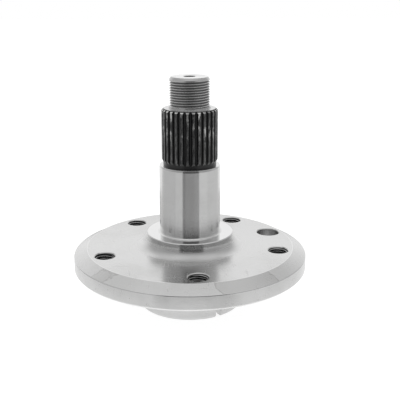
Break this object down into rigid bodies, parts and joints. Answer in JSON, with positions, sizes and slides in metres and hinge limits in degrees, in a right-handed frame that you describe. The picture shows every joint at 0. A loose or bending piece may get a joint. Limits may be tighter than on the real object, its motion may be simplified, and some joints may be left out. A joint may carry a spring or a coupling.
{
  "type": "wheel hub",
  "caption": "Steel wheel hub: a drilled and bevelled flange with a centring pilot below and a stepped stub shaft with bearing seat, splines and threaded end above.",
  "frame": {"origin": "on the shaft's axis at the end of the pilot, the lowest point of the hub as it stands", "axes": "+Z along the shaft towards its threaded end, -Y towards the first tapped hole, X across"},
  "size_m": [0.143, 0.143, 0.1412],
  "materials": {
    "turned_steel": "bright turned steel with fine concentric tool marks",
    "ground_steel": "ground bearing journal, satin with fine marks around the shaft",
    "dark_spline_steel": "black phosphated and oiled, rubbed grey on the tooth crests",
    "thread_steel": "cut thread in grey steel with bright chamfer and end face"
  },
  "bodies": {
    "root": {"pilot_spigot": "turned_steel", "wheel_flange": "turned_steel", "hub_boss": "turned_steel", "bearing_journal": "ground_steel", "spline_section": "dark_spline_steel", "threaded_end": "thread_steel"}
  },
  "joints": []
}
